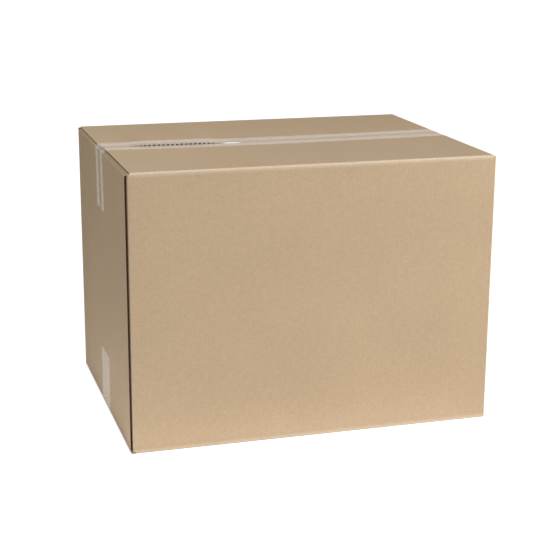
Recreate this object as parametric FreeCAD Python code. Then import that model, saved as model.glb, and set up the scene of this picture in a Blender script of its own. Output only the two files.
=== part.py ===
import FreeCAD, Part
import os
from math import acos, atan2, hypot, sqrt, tan

os.makedirs("parts", exist_ok=True)

# A shipping carton folded from one corrugated blank and closed with two strips of tape.
# X runs left to right, Y from front to back, Z up. The origin is the middle of the base.

# Outside of the closed carton, over the board
carton_length = 618.0
carton_depth = 465.0
carton_height = 458.0

# Board, with creases that are sharp on the inside and rounded on the outside
board_thickness = 4.0
crease_radius = 2.0

# Distance from the inside of a corner crease to the cut edge of the flaps beside it
slot_margin = 0.6

# Air between an inner flap and the outer flaps that close over it
flap_clearance = 0.3

# Opening between the two outer flaps, at the left end and at the right end
seam_gap_left = 3.0
seam_gap_right = 0.8

# Glue tab that runs from the front panel along the inside of the left panel, and the
# opening that is left between its crease and the cut edge of the left panel
joint_gap = 0.3
tab_width = 35.0
tab_end_trim = 6.0
tab_taper = 14.0

# Packing tape over the seams, the same roll above and below
tape_width = 76.0
tape_thickness = 0.08
top_tape_shift = 8.0
top_tape_reach = 105.0
bottom_tape_shift = -3.0
bottom_tape_reach = 100.0

# Sizes that follow from those above
half_length = carton_length / 2
half_depth = carton_depth / 2
crease_x = half_length - board_thickness
crease_y = half_depth - board_thickness
tab_outer_x = -half_length + board_thickness
joint_crease_x = tab_outer_x + board_thickness
floor_z = tape_thickness
ceiling_z = floor_z + carton_height
slot_edge = board_thickness + slot_margin
outer_flap_half = half_length - slot_edge
inner_flap_half = half_depth - slot_edge
inner_flap_depth = board_thickness + flap_clearance
mean_seam_gap = (seam_gap_left + seam_gap_right) / 2
flap_length = half_depth - mean_seam_gap / 2

right = FreeCAD.Vector(1, 0, 0)
back = FreeCAD.Vector(0, 1, 0)
up = FreeCAD.Vector(0, 0, 1)


def block(x_range, y_range, z_range):
    """A rectangular piece of board between two values on each axis."""
    low, high = zip(*(sorted(pair) for pair in (x_range, y_range, z_range)))
    size = [top - bottom for bottom, top in zip(low, high)]
    return Part.makeBox(*size, FreeCAD.Vector(*low))


def prism(corners, along):
    """A flat outline drawn straight out along a vector."""
    return Part.Face(Part.makePolygon(corners + corners[:1])).extrude(along)


def crease(centre, towards_first, towards_second, along):
    """A quarter turn of board round its inside corner, between two faces that meet there."""
    flat = board_thickness - crease_radius
    middle = flat + crease_radius / sqrt(2)
    reaches = [(board_thickness, 0), (board_thickness, flat), (middle, middle)]
    reaches += [(second, first) for first, second in reaches[1::-1]]
    points = [centre + towards_first * first + towards_second * second for first, second in reaches]
    outline = [
        Part.makeLine(centre, points[0]),
        Part.makeLine(points[0], points[1]),
        Part.Arc(*points[1:4]).toShape(),
        Part.makeLine(points[3], points[4]),
        Part.makeLine(points[4], centre),
    ]
    return Part.Face(Part.Wire(outline)).extrude(along)


def side_walls():
    """The four panels, up to the folds of their flaps, and the corners between the slots."""
    folds = (floor_z + board_thickness, ceiling_z - board_thickness)
    slots = (floor_z + crease_radius, ceiling_z - crease_radius)
    foot, rise = slots[0], up * (slots[1] - slots[0])
    front_face = (-half_depth, -crease_y)
    back_face = (crease_y, half_depth)
    return [
        block((joint_crease_x, crease_x), front_face, folds),
        block((-crease_x, crease_x), back_face, folds),
        block((outer_flap_half, crease_x), front_face, slots),
        block((outer_flap_half, crease_x), back_face, slots),
        block((-outer_flap_half, -crease_x), back_face, slots),
        crease(FreeCAD.Vector(crease_x, -crease_y, foot), right, -back, rise),
        crease(FreeCAD.Vector(crease_x, crease_y, foot), right, back, rise),
        crease(FreeCAD.Vector(-crease_x, crease_y, foot), -right, back, rise),
        crease(FreeCAD.Vector(joint_crease_x, -crease_y, foot), -right, -back, rise),
        *end_wall(1, -crease_y, slots),
        *end_wall(-1, -crease_y + joint_gap, slots),
    ]


def end_wall(side, front_y, slots):
    """A left or right panel: low where its inner flaps fold, and high beside their slots."""
    x_range = (side * crease_x, side * half_length)
    fold_low = floor_z + inner_flap_depth + board_thickness
    fold_high = ceiling_z - inner_flap_depth - board_thickness
    return [
        block(x_range, (-inner_flap_half, inner_flap_half), (fold_low, fold_high)),
        block(x_range, (front_y, -inner_flap_half), slots),
        block(x_range, (inner_flap_half, crease_y), slots),
    ]


def glue_tab():
    """The tab inside the left panel, cut back and tapered at both ends to clear the flaps."""
    end_fold = inner_flap_depth + board_thickness + tab_end_trim
    low = floor_z + end_fold
    high = ceiling_z - end_fold
    tip_y = -crease_y + tab_width
    corners = [
        FreeCAD.Vector(tab_outer_x, -crease_y, low),
        FreeCAD.Vector(tab_outer_x, tip_y, low + tab_taper),
        FreeCAD.Vector(tab_outer_x, tip_y, high - tab_taper),
        FreeCAD.Vector(tab_outer_x, -crease_y, high),
    ]
    return prism(corners, right * board_thickness)


def outer_flap(side, face_z, inward):
    """A front or back flap with its crease, cut along the slightly slanted seam."""
    left_x = joint_crease_x if side < 0 else -outer_flap_half
    right_x = outer_flap_half
    fold_y = side * crease_y
    axis = FreeCAD.Vector(left_x, fold_y, face_z + inward * board_thickness)
    corners = [
        FreeCAD.Vector(left_x, fold_y, face_z),
        FreeCAD.Vector(right_x, fold_y, face_z),
        FreeCAD.Vector(right_x, side * seam_gap_right / 2, face_z),
        FreeCAD.Vector(left_x, side * seam_gap_left / 2, face_z),
    ]
    return [
        crease(axis, back * side, up * -inward, right * (right_x - left_x)),
        prism(corners, up * (inward * board_thickness)),
    ]


def inner_flap(side, face_z, inward):
    """A left or right flap with its crease, one board below the outer flaps."""
    flap_z = face_z + inward * inner_flap_depth
    fold_x = side * crease_x
    end_x = side * (half_length - flap_length)
    width = 2 * inner_flap_half
    axis = FreeCAD.Vector(fold_x, -inner_flap_half, flap_z + inward * board_thickness)
    y_range = (-inner_flap_half, inner_flap_half)
    z_range = (flap_z, flap_z + inward * board_thickness)
    return [
        crease(axis, right * side, up * -inward, back * width),
        block((fold_x, end_x), y_range, z_range),
    ]


def folded_carton():
    """The whole blank as it stands folded and glued, one piece of board."""
    pieces = side_walls() + [glue_tab()]
    for face_z, inward in ((ceiling_z, -1), (floor_z, 1)):
        for side in (-1, 1):
            pieces += outer_flap(side, face_z, inward)
            pieces += inner_flap(side, face_z, inward)
    return pieces[0].multiFuse(pieces[1:]).removeSplitter()


def tape_turn_depth():
    """How far below the face of the outer flaps the tape meets an end panel.

    The tape leaves the cut end of the outer flaps along the line that just touches
    the rounded crease of the end panel.
    """
    edge_x = crease_radius - slot_edge
    edge_z = crease_radius + inner_flap_depth
    touch_angle = atan2(edge_z, edge_x) - acos(crease_radius / hypot(edge_x, edge_z))
    return edge_z - crease_radius * tan(touch_angle / 2)


def tape(face_z, inward, shift, reach):
    """A strip of tape along a seam, over both ends of the carton and along the end panels."""
    turn = tape_turn_depth()
    path = [
        (half_length, face_z + inward * reach),
        (half_length, face_z + inward * turn),
        (outer_flap_half, face_z),
    ]
    path += [(-x, z) for x, z in reversed(path)]
    outside = offset_path(path, -inward * tape_thickness)
    front_y = shift - tape_width / 2
    corners = [FreeCAD.Vector(x, front_y, z) for x, z in path + outside[::-1]]
    return prism(corners, back * tape_width)


def offset_path(path, distance):
    """A bent line moved to its right-hand side by a distance, with mitred corners."""
    normals = []
    for (x0, z0), (x1, z1) in zip(path, path[1:]):
        span = hypot(x1 - x0, z1 - z0)
        normals.append(((z1 - z0) / span, (x0 - x1) / span))
    moved = []
    for index, (x, z) in enumerate(path):
        nx, nz = normals[max(index - 1, 0)]
        mx, mz = normals[min(index, len(normals) - 1)]
        scale = distance / (1 + nx * mx + nz * mz)
        moved.append((x + (nx + mx) * scale, z + (nz + mz) * scale))
    return moved


nodes = {
    "carton": folded_carton(),
    "top_tape": tape(ceiling_z, -1, top_tape_shift, top_tape_reach),
    "bottom_tape": tape(floor_z, 1, bottom_tape_shift, bottom_tape_reach),
}

for name, shape in nodes.items():
    shape.exportStep(f"parts/{name}.step")
    bounds = shape.BoundBox
    print(name, shape.isValid(), len(shape.Solids), round(shape.Volume, 1), bounds)
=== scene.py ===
import math
from collections import namedtuple

import bpy
from mathutils import Matrix, Vector, noise


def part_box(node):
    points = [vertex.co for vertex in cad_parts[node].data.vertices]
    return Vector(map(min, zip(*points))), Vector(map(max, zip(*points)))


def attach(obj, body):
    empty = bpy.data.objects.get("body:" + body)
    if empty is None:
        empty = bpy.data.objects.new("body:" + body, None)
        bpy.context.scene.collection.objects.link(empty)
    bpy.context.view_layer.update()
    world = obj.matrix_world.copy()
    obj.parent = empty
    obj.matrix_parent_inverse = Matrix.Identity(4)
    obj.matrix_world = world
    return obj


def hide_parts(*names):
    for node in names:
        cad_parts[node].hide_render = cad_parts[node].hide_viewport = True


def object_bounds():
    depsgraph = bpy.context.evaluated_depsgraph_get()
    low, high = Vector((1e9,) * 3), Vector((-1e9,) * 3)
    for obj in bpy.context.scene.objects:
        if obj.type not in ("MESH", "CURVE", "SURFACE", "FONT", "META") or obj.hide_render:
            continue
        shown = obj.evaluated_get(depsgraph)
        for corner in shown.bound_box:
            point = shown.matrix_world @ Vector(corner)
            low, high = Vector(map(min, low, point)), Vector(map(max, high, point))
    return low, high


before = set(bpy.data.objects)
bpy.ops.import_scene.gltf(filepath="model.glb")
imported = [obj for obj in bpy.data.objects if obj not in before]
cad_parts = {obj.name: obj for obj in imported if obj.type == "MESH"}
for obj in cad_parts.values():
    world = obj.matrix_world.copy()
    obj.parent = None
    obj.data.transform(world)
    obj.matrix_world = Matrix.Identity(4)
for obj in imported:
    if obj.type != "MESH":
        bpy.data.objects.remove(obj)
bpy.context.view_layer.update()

# The blank of the carton: one sheet of corrugated board, die-cut, creased, glued at the
# front left corner and folded shut. It is laid out here as upright lines round the panels,
# from the cut edge of the left panel to the glue tab, and the flaps are folded from them.
carton_low, carton_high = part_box("carton")
half_length = carton_high.x
half_depth = carton_high.y
base_z = carton_low.z
top_z = carton_high.z
middle_z = (base_z + top_z) / 2
half_height = (top_z - base_z) / 2

board_thickness = 0.004
crease_radius = 0.002
crease_steps = 5
crease_hold = 0.9
flap_air = 0.0003
slot_inset = 0.0046
joint_gap = 0.0003
tab_width = 0.035
tab_trim = 0.006
tab_taper = 0.014
seam_gap_left = 0.003
seam_gap_right = 0.0008
least_half_gap = 0.0002
seam_waver = 0.0004
waver_scale = 60
waver_row = 3.1
panel_draw = 0.0012
top_sag = 0.0018
rear_lift = 0.0021
raised_stretch = (-0.262, -0.09)
lift_rise = 0.037
lift_fall = 0.04
lift_edge = 0.0012
edge_wear = 0.0012
cut_end_wear = 0.8
board_column_step = 0.005
board_row_step = 0.016
# How pale the flat row just below an outer crease is: a painted highlight fading down the panel,
# with some wear.
fold_line_highlight_and_wear = 0.5
squarely = 0.999
same_place = 1e-5
weld_steps_per_metre = 1e6

left, right = Vector((-1, 0, 0)), Vector((1, 0, 0))
front, rear = Vector((0, -1, 0)), Vector((0, 1, 0))
up = Vector((0, 0, 1))
fold_x = half_length - board_thickness
fold_y = half_depth - board_thickness
joint_x = fold_x - board_thickness
side_edge = half_length - slot_inset
end_edge = half_depth - slot_inset
slot_low, slot_high = base_z + crease_radius, top_z - crease_radius
outer_fold_low, outer_fold_high = base_z + board_thickness, top_z - board_thickness
inner_fold_low = outer_fold_low + board_thickness + flap_air
inner_fold_high = outer_fold_high - board_thickness - flap_air
tab_low, tab_high = inner_fold_low + tab_trim, inner_fold_high - tab_trim

# A line stands at its foot, faces out, and lies so far along the blank. A point of a sheet has its
# folded place, its facing, where it lies on the flat sheet, and its wear: how pale it is, from
# rubbing and, on the creases, from a painted highlight.
BlankLine = namedtuple("BlankLine", "foot out along")
SheetPoint = namedtuple("SheetPoint", "place facing along across wear")


def spaced(start, end, step):
    """Even steps from start to end, both included."""
    count = max(1, round(abs(end - start) / step))
    return [start + (end - start) * i / count for i in range(count + 1)]


def panel_run(out, stops, step):
    """Upright lines across a panel through the given stops, without the last one."""
    face = out * (half_length if out.x else half_depth)
    way = out.cross(up)
    run = []
    for start, end in zip(stops, stops[1:]):
        run += [(face + way * s, out) for s in spaced(start, end, step)[:-1]]
    return run


def crease_bends():
    """How far a crease reaches towards its two faces at each step, as shares of the board."""
    flat = 1 - crease_radius / board_thickness
    bends = [(1.0, 0.0), (1.0, flat * crease_hold)]
    for i in range(crease_steps + 1):
        angle = math.pi / 2 * i / crease_steps
        bends.append((flat + (1 - flat) * math.cos(angle), flat + (1 - flat) * math.sin(angle)))
    return [*bends, (flat * crease_hold, 1.0), (0.0, 1.0)]


def crease_run(centre, first_out, second_out):
    """Upright lines round a corner crease, without the last one."""
    outs = [first_out * first + second_out * second for first, second in crease_bends()[:-1]]
    return [(centre + out * board_thickness, out) for out in outs]


def blank_lines(step, set_back):
    """The lines of the panels and those of the tab, set back from the cut of the left panel."""
    cut_y = -fold_y + joint_gap + set_back
    first_stops = [stop for stop in (cut_y, -end_edge) if stop >= cut_y]
    run = panel_run(left, (*first_stops, end_edge, fold_y), step)
    run += crease_run(Vector((-fold_x, fold_y, 0)), left, rear)
    worn = side_edge - edge_wear
    run += panel_run(rear, (-fold_x, -side_edge, -worn, worn, side_edge, fold_x), step)
    run += crease_run(Vector((fold_x, fold_y, 0)), rear, right)
    run += panel_run(right, (-fold_y, -end_edge, end_edge, fold_y), step)
    run += crease_run(Vector((fold_x, -fold_y, 0)), right, front)
    run += panel_run(front, (-fold_x, -side_edge, -worn, joint_x - edge_wear, joint_x), step)
    run += crease_run(Vector((-joint_x, -fold_y, 0)), front, left)
    tab_face = Vector((-fold_x, 0, 0))
    tab_start = len(run)
    run += [(tab_face + rear * y, left) for y in spaced(-fold_y, -fold_y + tab_width, step)]
    lines, along, last_foot = [], set_back, run[0][0]
    for foot, out in run:
        along += (foot - last_foot).length
        lines.append(BlankLine(foot, out, along))
        last_foot = foot
    return lines[: tab_start + 1], lines[tab_start:]


def lines_between(lines, out, low, high):
    """The lines of one panel between two places along its axis."""
    axis = 1 if out.x else 0
    return [
        line for line in lines
        if (line.out - out).length < same_place
        and low - same_place < line.foot[axis] < high + same_place
    ]


def under_inner_flap(line):
    """Whether a line ends at the fold of an inner flap."""
    return abs(line.out.x) > squarely and abs(line.foot.y) < end_edge - same_place


def under_flap(line):
    """Whether a line ends at the fold of any flap, inside the flap's cut edges."""
    flap_edge = joint_x if line.foot.x < 0 and line.foot.y < 0 else side_edge
    under_outer_flap = abs(line.out.y) > squarely and abs(line.foot.x) < flap_edge - same_place
    return under_outer_flap or under_inner_flap(line)


def runs_clear_of(lines, covered):
    """The runs of neighbouring lines that rise past the folds of the flaps named by a test."""
    runs = [[]]
    for line in lines:
        if covered(line):
            runs.append([])
        else:
            runs[-1].append(line)
    return [run for run in runs if run]


# The rounds of the upright corner creases are made pale: rubbed wear and a painted highlight.
def corner_wear_and_highlight(out):
    """1 on the round of a corner crease, and 0 on the panels beside it."""
    return 1.0 if max(abs(out.x), abs(out.y)) < squarely else 0.0


def wall_rows(lines, heights):
    """Rows of points over the upright panels."""
    return [
        [SheetPoint(foot + up * z, out, along, z, corner_wear_and_highlight(out)) for foot, out, along in lines]
        for z in heights
    ]


def tab_rows(tab, heights):
    """Rows of points over the glue tab, tapered towards its free edge."""
    rows = []
    for z in heights:
        row = []
        for foot, out, along in tab:
            share = (foot.y + fold_y) / tab_width
            low, high = tab_low + share * tab_taper, tab_high - share * tab_taper
            height = low + (high - low) * (z - tab_low) / (tab_high - tab_low)
            row.append(SheetPoint(foot + up * height, out, along, height, 0.0))
        rows.append(row)
    return rows


def seam_half_gap(x):
    """Half the opening between the outer flaps, narrower to the right, with a wavering cut."""
    share = (x + side_edge) / (2 * side_edge)
    gap = seam_gap_left + (seam_gap_right - seam_gap_left) * share
    waver = noise.noise(Vector((x * waver_scale, waver_row, 0))) * seam_waver
    return max(gap / 2 + waver, least_half_gap)


def flap_length(foot, out):
    """The flat length of a flap, from its crease to its cut end."""
    if out.x:
        return fold_y - (seam_gap_left + seam_gap_right) / 4
    return fold_y - seam_half_gap(foot.x)


def flap_rows(lines, fold_z, way, step, crease_wear_and_highlight):
    """Rows of points over a flap: a quarter turn from its panel, then flat to its cut end."""
    side_wear = [cut_end_wear] + [0.0] * (len(lines) - 2) + [cut_end_wear]
    bends = crease_bends()
    # Round an outer crease the paper is made pale: rubbed wear and a painted highlight, running on
    # to the flat row below.
    bend_wear_and_highlight = [fold_line_highlight_and_wear] + [1.0] * (len(bends) - 2) + [0.0]
    rows = []
    for (outward, upward), wear_and_highlight_share in zip(bends, bend_wear_and_highlight):
        row = []
        for (foot, out, along), wear in zip(lines, side_wear):
            centre = foot - out * board_thickness + up * fold_z
            lean = out * outward + up * way * upward
            height = fold_z + way * board_thickness * (upward - outward + 1)
            worn = max(crease_wear_and_highlight * wear_and_highlight_share, wear)
            row.append(SheetPoint(centre + lean * board_thickness, lean, along, height, worn))
        rows.append(row)
    turned = rows[-1]
    for share in spaced(0, 1, step / half_depth)[1:]:
        row = []
        for line, start, wear in zip(lines, turned, side_wear):
            reach = flap_length(line.foot, line.out) * share
            place = start.place - line.out * reach
            row.append(SheetPoint(place, start.facing, line.along, start.across + way * reach, wear))
        rows.append(row)
    return rows[::way]


def add_rows(sheet, rows):
    """Adds a grid of points to a sheet, welded to the points that are there."""
    points, index = sheet["points"], sheet["index"]
    numbers = []
    for row in rows:
        numbers.append([])
        for point in row:
            key = tuple(round(c * weld_steps_per_metre) for c in point.place)
            number = index.setdefault(key, len(points))
            if number == len(points):
                points.append(point)
            elif point.wear > points[number].wear:
                points[number] = points[number]._replace(wear=point.wear)
            numbers[-1].append(number)
    for low, high in zip(numbers, numbers[1:]):
        for i in range(len(low) - 1):
            sheet["faces"].append((low[i], high[i], high[i + 1], low[i + 1]))


def folded_sheet(column_step, row_step, set_back):
    """The outside of the whole folded blank as one sheet of welded rows."""
    sheet = {"points": [], "index": {}, "faces": []}
    body, tab = blank_lines(column_step, set_back)
    tab_heights = spaced(tab_low, tab_high, row_step)
    add_rows(sheet, wall_rows(body, [inner_fold_low, *tab_heights, inner_fold_high]))
    add_rows(sheet, tab_rows(tab, tab_heights))
    for lines in runs_clear_of(body, under_inner_flap):
        add_rows(sheet, wall_rows(lines, (outer_fold_low, inner_fold_low)))
        add_rows(sheet, wall_rows(lines, (inner_fold_high, outer_fold_high)))
    for lines in runs_clear_of(body, under_flap):
        add_rows(sheet, wall_rows(lines, (slot_low, outer_fold_low)))
        add_rows(sheet, wall_rows(lines, (outer_fold_high, slot_high)))
    outer_folds, inner_folds = (outer_fold_low, outer_fold_high), (inner_fold_low, inner_fold_high)
    # Outer flaps get pale creases, rubbed and with a painted highlight; inner flaps get none.
    for out, low, high, folds, crease_wear_and_highlight in (
        (front, -joint_x, side_edge, outer_folds, 1.0),
        (rear, -side_edge, side_edge, outer_folds, 1.0),
        (left, -end_edge, end_edge, inner_folds, 0.0),
        (right, -end_edge, end_edge, inner_folds, 0.0),
    ):
        lines = lines_between(body, out, low, high)
        add_rows(sheet, flap_rows(lines, folds[0], -1, row_step, crease_wear_and_highlight))
        add_rows(sheet, flap_rows(lines, folds[1], 1, row_step, crease_wear_and_highlight))
    return sheet


def eased(value, low, high):
    """How far a value lies between two others, from 0 to 1, with a smooth start and end."""
    share = min(max((value - low) / (high - low), 0), 1)
    return share * share * (3 - 2 * share)


def flap_lift(place):
    """How far the rear outer flap stands up at the seam, over the left inner flap."""
    if place.z < top_z - board_thickness - flap_air / 2:
        return 0.0
    start, end = raised_stretch
    stretch = eased(place.x, start, start + lift_rise) * (1 - eased(place.x, end - lift_fall, end))
    hinge = min(max((half_depth - place.y) / half_depth, 0), 1)
    return rear_lift * stretch * hinge * eased(place.y, -lift_edge, 0.0)


def settled(place):
    """A place on the used carton: panels drawn in, top sagging, one flap standing up."""
    x, y, z = place.x / half_length, place.y / half_depth, (place.z - middle_z) / half_height
    wide, deep, tall = 1 - x * x, 1 - y * y, 1 - z * z
    moved = Vector((
        -x * panel_draw * deep * tall,
        -y * panel_draw * wide * tall,
        -(1 + z) / 2 * top_sag * wide * deep + flap_lift(place),
    ))
    return place + moved


board_sheet = folded_sheet(board_column_step, board_row_step, set_back=0.0)

# The outer paper: brown kraft liner on the outside of the board, glued to the fluting. It carries
# the look of the box: mottling, fibres, the faint washboard of the flutes with painted shade, and
# folds rubbed pale with a painted highlight.
paper_thickness = 0.00035
paper_relief = 0.00006
cut_relief = 0.00005
paper_gloss = 0.22
flute_pitch = 0.0079
board_sharp_degrees = 35
fibre_scale = (120, 560, 1)
outer_kraft = (0.552, 0.409, 0.270, 1)
# Pale colour of the folds: rubbed paper, and a painted highlight on the crease rounds.
worn_and_highlight_kraft = (0.80, 0.66, 0.50, 1)
cut_kraft = (0.56, 0.42, 0.28, 1)
mix_first, mix_second, mix_result = 6, 7, 2


def link_mesh(name, verts, faces, sharp_degrees=30):
    """A smooth-shaded object with sharp edges above an angle."""
    mesh = bpy.data.meshes.new(name)
    mesh.from_pydata(verts, [], faces)
    mesh.shade_smooth()
    mesh.set_sharp_from_angle(angle=math.radians(sharp_degrees))
    piece = bpy.data.objects.new(name, mesh)
    bpy.context.scene.collection.objects.link(piece)
    return piece


def closed_sheet(name, points, faces, depths, sharp_degrees, uv_name):
    """A thin closed piece between an outer and an inner depth below a sheet of points."""
    count = len(points)
    verts = [settled(p.place - p.facing * depth(p)) for depth in depths for p in points]
    quads = faces + [tuple(v + count for v in reversed(face)) for face in faces]
    sides = {(face[i], face[(i + 1) % 4]) for face in faces for i in range(4)}
    rims = sorted(side for side in sides if side[::-1] not in sides)
    quads += [(b, a, a + count, b + count) for a, b in rims]
    piece = link_mesh(name, verts, quads, sharp_degrees)
    uv = piece.data.uv_layers.new(name=uv_name)
    for corner in piece.data.loops:
        point = points[corner.vertex_index % count]
        uv.data[corner.index].uv = (point.along, point.across)
    return piece


def board_layer(name, sheet, outer_depth, inner_depth):
    """A closed layer of the board between two depths, with its cut edges as a second surface."""
    points, faces = sheet["points"], sheet["faces"]
    depths = (outer_depth, inner_depth)
    piece = closed_sheet(name, points, faces, depths, board_sharp_degrees, "blank")
    mesh = piece.data
    fold = mesh.attributes.new("fold", "FLOAT", "POINT")
    fold.data.foreach_set("value", [point.wear for point in points] * 2)
    cut_start = 2 * len(faces)
    cut = [0] * cut_start + [1] * (len(mesh.polygons) - cut_start)
    mesh.polygons.foreach_set("material_index", cut)
    return piece


def set_inputs(tree, node, inputs):
    """Gives inputs of a node their values, each a plain value or a socket to link."""
    for key, value in inputs.items():
        if isinstance(value, bpy.types.NodeSocket):
            tree.links.new(value, node.inputs[key])
        else:
            node.inputs[key].default_value = value


def add_node(tree, kind, inputs=None, **settings):
    """A shader node with its settings and inputs."""
    node = tree.nodes.new("ShaderNode" + kind)
    for key, value in settings.items():
        setattr(node, key, value)
    set_inputs(tree, node, inputs or {})
    return node


def calc(tree, operation, *values):
    """A maths node on numbers or sockets."""
    return add_node(tree, "Math", dict(enumerate(values)), operation=operation).outputs[0]


def product(tree, first, *others):
    """Numbers or sockets multiplied together."""
    for other in others:
        first = calc(tree, "MULTIPLY", first, other)
    return first


def weighted_sum(tree, start, *pairs):
    """A start value plus each value of the pairs times its weight."""
    total = start
    for value, weight in pairs:
        total = calc(tree, "MULTIPLY_ADD", value, weight, total)
    return total


def noise_at(tree, vector, scale, detail=2.0, roughness=0.5):
    """A noise of so many waves per metre that lies evenly about zero."""
    inputs = {"Vector": vector, "Scale": scale, "Detail": detail, "Roughness": roughness}
    return calc(tree, "SUBTRACT", add_node(tree, "TexNoise", inputs).outputs["Fac"], 0.5)


def scaled_colour(tree, colour, tone):
    """A colour made lighter or darker by a tone."""
    inputs = {0: colour[:3], "Scale": tone}
    return add_node(tree, "VectorMath", inputs, operation="SCALE").outputs[0]


def mixed_colour(tree, share, first, second):
    """A blend of two colours, by a share of the second that is kept between 0 and 1."""
    inputs = {"Factor": share, mix_first: first, mix_second: second}
    mixed = add_node(tree, "Mix", inputs, data_type="RGBA", clamp_factor=True)
    return mixed.outputs[mix_result]


def new_group(name, given, made):
    """A node group with inputs of given kinds and number outputs, and the nodes at both ends."""
    group = bpy.data.node_groups.new(name, "ShaderNodeTree")
    for label, kind in given.items():
        group.interface.new_socket(label, in_out="INPUT", socket_type="NodeSocket" + kind)
    for label in made:
        group.interface.new_socket(label, in_out="OUTPUT", socket_type="NodeSocketFloat")
    return group, group.nodes.new("NodeGroupInput"), group.nodes.new("NodeGroupOutput")


def new_material(name):
    """A material with its node tree and its shader."""
    material = bpy.data.materials.new(name)
    material.use_nodes = True
    return material, material.node_tree, material.node_tree.nodes["Principled BSDF"]


def kraft_group():
    """Kraft paper: clouds, blotches, grains and fibres, and the washboard of the flutes, as bumps
    and faint painted shade.
    """
    group, given, made = new_group(
        "kraft_paper",
        {"Blank": "Vector", "Flutes": "Float"},
        ("Tone", "Height", "Roughness", "Patches"),
    )
    place = given.outputs["Blank"]
    clouds = noise_at(group, place, 7)
    blotches = noise_at(group, place, 100, 3, 0.6)
    grains = noise_at(group, place, 420, 3, 0.65)
    stretched = add_node(group, "Mapping", {"Vector": place, "Scale": fibre_scale}).outputs[0]
    fibres = noise_at(group, stretched, 1, 3, 0.6)
    across = add_node(group, "SeparateXYZ", {0: place}).outputs["X"]
    waves = calc(group, "SINE", product(group, across, 2 * math.pi / flute_pitch))
    uneven = weighted_sum(group, 0.6, (noise_at(group, place, 11), 1.0))
    waves = product(group, waves, given.outputs["Flutes"], uneven)
    # The flute waves also shift the tone a little: painted shade of the washboard, beside its bumps.
    tones = (clouds, 0.12), (blotches, 0.20), (grains, 0.46), (fibres, 0.22), (waves, 0.009)
    heights = (waves, 0.25), (blotches, 0.25), (grains, 0.5), (fibres, 0.6)
    set_inputs(group, made, {
        "Tone": weighted_sum(group, 1.0, *tones),
        "Height": weighted_sum(group, 0.0, *heights),
        "Roughness": weighted_sum(group, 0.82, (blotches, 0.12)),
        "Patches": weighted_sum(group, 0.75, (noise_at(group, place, 320, 3, 0.7), 1.6)),
    })
    return group


kraft_paper = kraft_group()


def paper_material(name, colour, flutes, relief, wear):
    """A matt kraft surface in a shade of its own, paler along its folds: rubbed wear and a painted
    highlight.
    """
    material, tree, shader = new_material(name)
    blank = add_node(tree, "UVMap", uv_map="blank").outputs[0]
    inputs = {"Blank": blank, "Flutes": flutes}
    paper = add_node(tree, "Group", inputs, node_tree=kraft_paper).outputs
    fold = add_node(tree, "Attribute", attribute_name="fold").outputs["Fac"]
    # The share of the pale fold colour: rubbed wear, and on the outer creases a painted highlight.
    fold_wear_and_highlight = product(tree, fold, paper["Patches"], wear)
    toned = scaled_colour(tree, colour, paper["Tone"])
    bump = add_node(tree, "Bump", {"Height": paper["Height"], "Distance": relief})
    set_inputs(tree, shader, {
        "Base Color": mixed_colour(tree, fold_wear_and_highlight, toned, worn_and_highlight_kraft),
        "Roughness": paper["Roughness"],
        "Specular IOR Level": paper_gloss,
        "Normal": bump.outputs[0],
    })
    return material


cut_paper = paper_material("cut_paper", cut_kraft, flutes=0.0, relief=cut_relief, wear=0.0)
outer_paper = board_layer("outer_paper", board_sheet, lambda p: 0.0, lambda p: paper_thickness)
outer_paper.data.materials.append(
    paper_material("outer_kraft", outer_kraft, flutes=1.0, relief=paper_relief, wear=1.0)
)
outer_paper.data.materials.append(cut_paper)
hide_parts("carton")
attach(outer_paper, "root")

# The inner paper: the same liner on the inside of the board, glued to the other side of the
# fluting. Only its cut edges show, and a little of its face through the slots.
inner_kraft = (0.50, 0.36, 0.23, 1)
crease_bead = 0.00003
inner_paper = board_layer(
    "inner_paper",
    board_sheet,
    lambda p: board_thickness - paper_thickness,
    lambda p: board_thickness - crease_bead,
)
inner_paper.data.materials.append(
    paper_material("inner_kraft", inner_kraft, flutes=0.8, relief=paper_relief, wear=0.0)
)
inner_paper.data.materials.append(cut_paper)
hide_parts("carton")
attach(inner_paper, "root")

# The fluting: thin paper pressed into waves and glued between the two liners. Its waves show
# where the board is cut across them, and its open channels where the board is cut along them.
fluting_paper = 0.00025
flute_step = flute_pitch / 5
flute_row_step = 0.08
flute_half_height = 0.00142
flute_set_back = 0.005
fluting_kraft = (0.50, 0.37, 0.24, 1)

rear_flap_cuts = {
    line.along
    for line in blank_lines(flute_step, flute_set_back)[0]
    if line.out.y > squarely and abs(abs(line.foot.x) - side_edge) < same_place
}


def is_pressed(point):
    """Whether the knife has pressed the board shut here: rear flap ends and corner edges."""
    at_corner_edge = min(abs(point.across - edge) for edge in (slot_low, slot_high)) < same_place
    return point.along in rear_flap_cuts or at_corner_edge


def flute_outside(point):
    """How deep the outside of the fluting lies in the board."""
    if is_pressed(point):
        return paper_thickness
    wave = math.sin(2 * math.pi * point.along / flute_pitch)
    return board_thickness / 2 - fluting_paper / 2 + flute_half_height * wave


def flute_inside(point):
    """How deep the inside of the fluting lies in the board."""
    if is_pressed(point):
        return board_thickness - paper_thickness
    return flute_outside(point) + fluting_paper


fluting_sheet = folded_sheet(flute_step, flute_row_step, flute_set_back)
fluting = board_layer("fluting", fluting_sheet, flute_outside, flute_inside)
fluting.data.materials.append(
    paper_material("fluting_kraft", fluting_kraft, flutes=0.0, relief=paper_relief, wear=0.0)
)
fluting.data.materials.append(cut_paper)
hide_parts("carton")
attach(fluting, "root")

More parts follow.
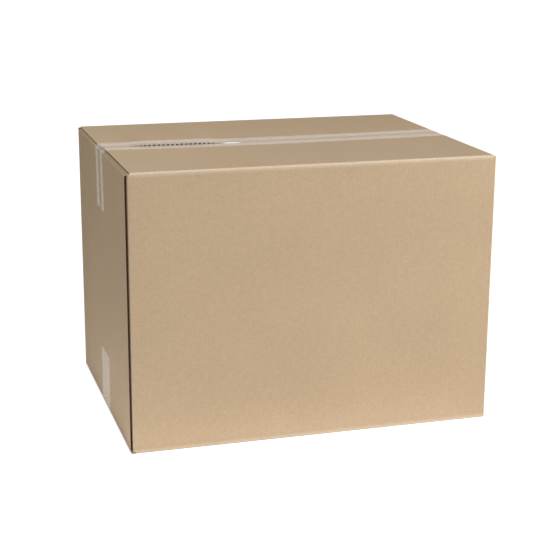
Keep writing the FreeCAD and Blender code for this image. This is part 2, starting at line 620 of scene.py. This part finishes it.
# The upper tape: a strip of clear packing film, laid along the top seam and pressed down over
# both ends on to the end panels. It is torn off on a toothed blade and lightly puckered.
film_thickness = 0.00008
film_lift = 0.00001
tape_turn_depth = 0.00558
tape_step = 0.004
tape_sharp_degrees = 60
tooth_pitch = 0.0025
tooth_depth = 0.0006
film_colour = (0.95, 0.91, 0.87, 1)
film_ior = 1.5
least_mirror = 0.03
least_haze = 0.02
pucker_depth = 0.0003
streak_scale = (6, 120, 1)
end_fade = 1 / 300
channel_pitch = 0.0435
channel_start = 2.3
top_streaks = 0.2
seam_fade = 0.03
seam_band = (-0.0016, 0.0004)
seam_band_edge = 0.0004
# Painted highlights of the lit flute tips: pale dots on the film over the open seam.
seam_tip_highlight = 0.4
# A painted glint on the upper film by the seam: where it lies, and how strongly the film mirrors
# there.
painted_glint_length_range = (-0.097, -0.062)
painted_glint_length_fade = 0.013
painted_glint_width_range = (-0.0045, 0.0065)
painted_glint_width_fade = 0.003
painted_glint_strength = 3.6


def tape_path(face_z, way, reach):
    """Places and facings along a tape, over the top or base and along both end panels."""
    stops = [
        (half_length, face_z - way * reach),
        (half_length, face_z - way * tape_turn_depth),
        (side_edge, face_z),
    ]
    corners = [Vector((-x, 0, z)) for x, z in stops] + [Vector((x, 0, z)) for x, z in stops[::-1]]
    path = []
    for start, end in zip(corners, corners[1:]):
        run = (end - start).normalized()
        facing = Vector((-run.z, 0, run.x)) * way
        for share in spaced(0, 1, tape_step / (end - start).length):
            place = start.lerp(end, share)
            if path and (place - path[-1][0]).length < same_place:
                path[-1] = (place, (facing + path[-1][1]).normalized())
            else:
                path.append((place, facing))
    return path


def tape_points(node, way):
    """The grid of points of a tape, with how many lie across it."""
    low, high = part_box(node)
    face_z = top_z if way > 0 else base_z
    reach = face_z - low.z if way > 0 else high.z - face_z
    path = tape_path(face_z, way, reach)
    across = spaced(low.y, high.y, tooth_pitch / 2)[::way]
    points = []
    along = -sum((b[0] - a[0]).length for a, b in zip(path, path[1:])) / 2
    for i, (place, facing) in enumerate(path):
        along += (place - path[max(i - 1, 0)][0]).length
        for j, y in enumerate(across):
            bite = way * tooth_depth if i in (0, len(path) - 1) and j % 2 else 0.0
            spot = Vector((place.x, y, place.z + bite))
            points.append(SheetPoint(spot, facing, along, y, 0.0))
    return points, len(across)


def tape_piece(name, node, way):
    """A closed strip of film that follows the faces of the carton."""
    points, columns = tape_points(node, way)
    faces = [
        (a, a + columns, a + columns + 1, a + 1)
        for row in range(len(points) // columns - 1)
        for a in range(row * columns, (row + 1) * columns - 1)
    ]
    depths = (lambda p: -film_thickness, lambda p: -film_lift)
    return closed_sheet(name, points, faces, depths, tape_sharp_degrees, "strip")


def clamped(tree, value):
    """A value kept between 0 and 1."""
    return add_node(tree, "Clamp", {"Value": value}).outputs[0]


def ramp(tree, value, start, end):
    """0 up to the start, 1 from the end on, and even in between."""
    run = end - start
    return clamped(tree, calc(tree, "MULTIPLY_ADD", value, 1 / run, -start / run))


def between(tree, value, low, high, edge):
    """1 where a value lies between two others, fading to 0 over the edge inside them."""
    rise = calc(tree, "DIVIDE", calc(tree, "SUBTRACT", value, low), edge)
    fall = calc(tree, "DIVIDE", calc(tree, "SUBTRACT", high, value), edge)
    return clamped(tree, calc(tree, "MINIMUM", rise, fall))


def film_group():
    """Packing film: where it lies loose, its puckers, a painted glint by the seam, and painted
    highlights on the flute tips in the open seam.
    """
    group, given, made = new_group(
        "packing_film",
        {"Strip": "Vector", "End Looseness": "Float", "End Streaks": "Float"},
        ("Loose", "Height", "Roughness", "Tip Highlight", "Painted Glint"),
    )
    strip = given.outputs["Strip"]
    parts = add_node(group, "SeparateXYZ", {0: strip}).outputs
    drawn = add_node(group, "Mapping", {"Vector": strip, "Scale": streak_scale}).outputs[0]
    streaks = noise_at(group, drawn, 1, 3, 0.6)
    specks = noise_at(group, strip, 420, 2, 0.6)
    creep = noise_at(group, strip, 45, 3, 0.55)
    past_top = calc(group, "SUBTRACT", calc(group, "ABSOLUTE", parts["X"]), half_length)
    ends = ramp(group, past_top, 0.0, end_fade)
    turn = calc(group, "MULTIPLY_ADD", parts["Y"], 2 * math.pi / channel_pitch, channel_start)
    channels = calc(group, "COSINE", weighted_sum(group, turn, (creep, 1.5)))
    more_streaks = calc(group, "SUBTRACT", given.outputs["End Streaks"], top_streaks)
    channels = product(group, channels, weighted_sum(group, top_streaks, (ends, more_streaks)))
    looser = (ends, given.outputs["End Looseness"]), (channels, 1.0), (streaks, 0.45), (specks, 0.35)
    # Pale dots, one to each flute, in the open stretch of the seam: painted highlights of the lit
    # flute tips.
    tips = calc(group, "SINE", product(group, parts["X"], 2 * math.pi / flute_pitch))
    tips = clamped(group, weighted_sum(group, 0.15, (tips, 0.8)))
    in_stretch = between(group, parts["X"], *raised_stretch, seam_fade)
    in_seam = between(group, parts["Y"], *seam_band, seam_band_edge)
    # The patch of the painted glint: the film mirrors the room much more here.
    along_painted_glint = between(group, parts["X"], *painted_glint_length_range, painted_glint_length_fade)
    across_painted_glint = between(group, parts["Y"], *painted_glint_width_range, painted_glint_width_fade)
    heights = (creep, 1.0), (streaks, 0.5), (specks, 0.1)
    set_inputs(group, made, {
        "Loose": clamped(group, weighted_sum(group, 0.45, *looser)),
        "Height": weighted_sum(group, 0.0, *heights),
        "Roughness": weighted_sum(group, 0.2, (specks, 0.15)),
        "Tip Highlight": product(group, in_seam, in_stretch, tips),
        "Painted Glint": product(group, along_painted_glint, across_painted_glint),
    })
    return group


packing_film = film_group()


def film_material(name, end_looseness, end_streaks, seam_show):
    """Clear film that mirrors the room at a flat angle, most where it lies loose, and strongly in a
    painted glint by the seam.
    """
    material, tree, shader = new_material(name)
    strip = add_node(tree, "UVMap", uv_map="strip").outputs[0]
    inputs = {"Strip": strip, "End Looseness": end_looseness, "End Streaks": end_streaks}
    film = add_node(tree, "Group", inputs, node_tree=packing_film).outputs
    bump = add_node(tree, "Bump", {"Height": film["Height"], "Distance": pucker_depth}).outputs[0]
    flat_angle = add_node(tree, "Fresnel", {"IOR": film_ior, "Normal": bump}).outputs[0]
    mirror = product(tree, flat_angle, weighted_sum(tree, least_mirror, (film["Loose"], 1.0)))
    # The painted glint: extra mirror in a small patch by the seam, on the upper tape only.
    glint = product(tree, film["Painted Glint"], flat_angle)
    mirror = weighted_sum(tree, mirror, (glint, painted_glint_strength * seam_show))
    # The film's haze, plus the painted highlights on the flute tips along the seam.
    haze_and_tip_highlight = (film["Loose"], 0.08), (film["Tip Highlight"], seam_tip_highlight * seam_show)
    cover = calc(tree, "ADD", mirror, weighted_sum(tree, least_haze, *haze_and_tip_highlight))
    inside = add_node(tree, "NewGeometry").outputs["Backfacing"]
    set_inputs(tree, shader, {
        "Base Color": film_colour,
        "Metallic": calc(tree, "DIVIDE", mirror, cover),
        "Roughness": film["Roughness"],
        "Alpha": product(tree, cover, calc(tree, "SUBTRACT", 1.0, inside)),
        "Normal": bump,
    })
    return material


upper_tape = tape_piece("upper_tape", "top_tape", way=1)
upper_tape.data.materials.append(
    film_material("upper_film", end_looseness=-0.06, end_streaks=0.44, seam_show=1.0)
)
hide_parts("top_tape")
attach(upper_tape, "root")

# The lower tape: a strip of the same film along the base seam, put on before the carton is filled
# and turned up on to both end panels. The flaps under it lie flat, so it has neither the painted
# glint nor the painted highlights on the flute tips.
lower_tape = tape_piece("lower_tape", "bottom_tape", way=-1)
lower_tape.data.materials.append(
    film_material("lower_film", end_looseness=0.1, end_streaks=0.05, seam_show=0.0)
)
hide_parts("bottom_tape")
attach(lower_tape, "root")

# The floor: a plain white sweep that the box stands on. It is white to the camera, but for a
# thin line of shadow at the foot of the box, and it throws soft light back on to the panels.
floor_half = 20.0
floor_white = (0.8, 0.8, 0.8)
floor_roughness = 0.9
shade_width = 0.03
contact_shade = (-0.0024, 0.0006)
near_white = 0.95
far_white = 1.15
far_stretch = (1.0, 3.5)
mirrored_front = 0.52
mirrored_behind = 0.36
behind_stretch = (0.25, 0.875)


def vector_calc(tree, operation, *values):
    """A vector maths node on vectors or sockets."""
    node = add_node(tree, "VectorMath", dict(enumerate(values)), operation=operation)
    return node.outputs["Value" if operation == "LENGTH" else "Vector"]


def pool(tree, spot, centre, spread, strength):
    """Light thrown back by the floor round a point, fading with distance along and across."""
    off = vector_calc(tree, "DIVIDE", vector_calc(tree, "SUBTRACT", spot, centre), spread)
    distance = vector_calc(tree, "LENGTH", off)
    faded = calc(tree, "MULTIPLY_ADD", distance, distance, 1.0)
    return calc(tree, "DIVIDE", strength, product(tree, faded, faded))


def floor_material():
    """White, with one glow for the camera, one for the film's mirror and one that lights the box."""
    material, tree, shader = new_material("floor")
    spot = add_node(tree, "NewGeometry").outputs["Position"]
    evenness = weighted_sum(tree, 1.0, (noise_at(tree, spot, 2), 0.02))
    white = scaled_colour(tree, floor_white, evenness)
    sides = add_node(tree, "SeparateXYZ", {0: vector_calc(tree, "ABSOLUTE", spot)}).outputs
    clear_x = calc(tree, "SUBTRACT", sides["X"], half_length)
    clear_y = calc(tree, "SUBTRACT", sides["Y"], half_depth)
    clear = calc(tree, "MAXIMUM", clear_x, clear_y)
    far = ramp(tree, vector_calc(tree, "LENGTH", spot), *far_stretch)
    seen = weighted_sum(tree, near_white, (far, far_white - near_white))
    seen = product(tree, seen, ramp(tree, clear, *contact_shade))
    depth = add_node(tree, "SeparateXYZ", {0: spot}).outputs["Y"]
    behind = ramp(tree, depth, *behind_stretch)
    mirrored = weighted_sum(tree, mirrored_front, (behind, mirrored_behind - mirrored_front))
    front_pool = pool(tree, spot, centre=(0, -0.233, 0), spread=(0.56, 0.05, 1), strength=1.8)
    left_pool = pool(tree, spot, centre=(-0.43, -0.02, 0), spread=(0.26, 0.445, 1), strength=1.25)
    bounce = calc(tree, "ADD", front_pool, left_pool)
    bounce = product(tree, bounce, ramp(tree, clear, 0.0, shade_width))
    rays = add_node(tree, "LightPath").outputs
    camera_ray, glossy_ray = rays["Is Camera Ray"], rays["Is Glossy Ray"]
    other_ray = calc(tree, "SUBTRACT", calc(tree, "SUBTRACT", 1.0, camera_ray), glossy_ray)
    glow = (camera_ray, seen), (glossy_ray, mirrored), (other_ray, bounce)
    set_inputs(tree, shader, {
        "Base Color": white,
        "Roughness": floor_roughness,
        "Emission Color": white,
        "Emission Strength": weighted_sum(tree, 0.0, *glow),
    })
    return material


floor_z = float(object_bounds()[0][2])
floor_corners = [
    (x * floor_half, y * floor_half, floor_z) for x, y in ((-1, -1), (1, -1), (1, 1), (-1, 1))
]
floor = link_mesh("floor", floor_corners, [(0, 1, 2, 3)])
floor.data.materials.append(floor_material())

# The light: a soft key lamp from the right, a weaker one overhead on the left, and a white
# room that is full white where it is seen or mirrored, and dim and warm as a light.
room_white = (1, 1, 1, 1)
room_warmth = (1, 0.93, 0.8, 1)
room_light = 0.15
world = bpy.data.worlds.new("room")
world.use_nodes = True
bpy.context.scene.world = world
tree = world.node_tree
rays = add_node(tree, "LightPath").outputs
seen = calc(tree, "MAXIMUM", rays["Is Camera Ray"], rays["Is Glossy Ray"])
seen = calc(tree, "MAXIMUM", seen, rays["Is Transmission Ray"])
set_inputs(tree, tree.nodes["Background"], {
    "Color": mixed_colour(tree, seen, room_warmth, room_white),
    "Strength": weighted_sum(tree, room_light, (seen, 1 - room_light)),
})


def soft_lamp(name, place, aim, size, power, colour):
    """A square soft light that faces a point and isn't mirrored in the film."""
    lamp_data = bpy.data.lights.new(name, "AREA")
    lamp_data.shape = "SQUARE"
    lamp_data.size = size
    lamp_data.energy = power
    lamp_data.color = colour
    lamp = bpy.data.objects.new(name, lamp_data)
    lamp.location = place
    lamp.visible_glossy = False
    lamp.rotation_euler = (Vector(place) - Vector(aim)).to_track_quat("Z", "Y").to_euler()
    bpy.context.scene.collection.objects.link(lamp)


soft_lamp("key", place=(3.2, -2.0, 1.52), aim=(0, 0, 0.25), size=1.8, power=167, colour=(1, 1, 1))
soft_lamp(
    "overhead",
    place=(-0.85, -0.4, 1.95),
    aim=(-0.55, -0.3, 0.2),
    size=1.2,
    power=13.4,
    colour=(0.93, 0.975, 1),
)

# The camera: where the photograph was taken from, found by fitting the edges of the box. It
# looks down at the box from the front left.
camera_place = (-0.6729, -2.2676, 0.8594)
camera_degrees = (-16.726, 15.444, 0.361)
camera_lens = 88.44
sensor_width = 36
azimuth, elevation, roll = (math.radians(angle) for angle in camera_degrees)
back = Vector((
    math.sin(azimuth) * math.cos(elevation),
    -math.cos(azimuth) * math.cos(elevation),
    math.sin(elevation),
))
level = up.cross(back).normalized()
raised = back.cross(level)
side = level * math.cos(roll) + raised * math.sin(roll)
head = raised * math.cos(roll) - level * math.sin(roll)
camera_data = bpy.data.cameras.new("camera")
camera_data.sensor_width = sensor_width
camera_data.lens = camera_lens
camera = bpy.data.objects.new("camera", camera_data)
turned = Matrix((side, head, back)).transposed().to_4x4()
camera.matrix_world = Matrix.Translation(camera_place) @ turned
bpy.context.scene.collection.objects.link(camera)
bpy.context.scene.camera = camera
bpy.context.scene.view_settings.view_transform = "Standard"
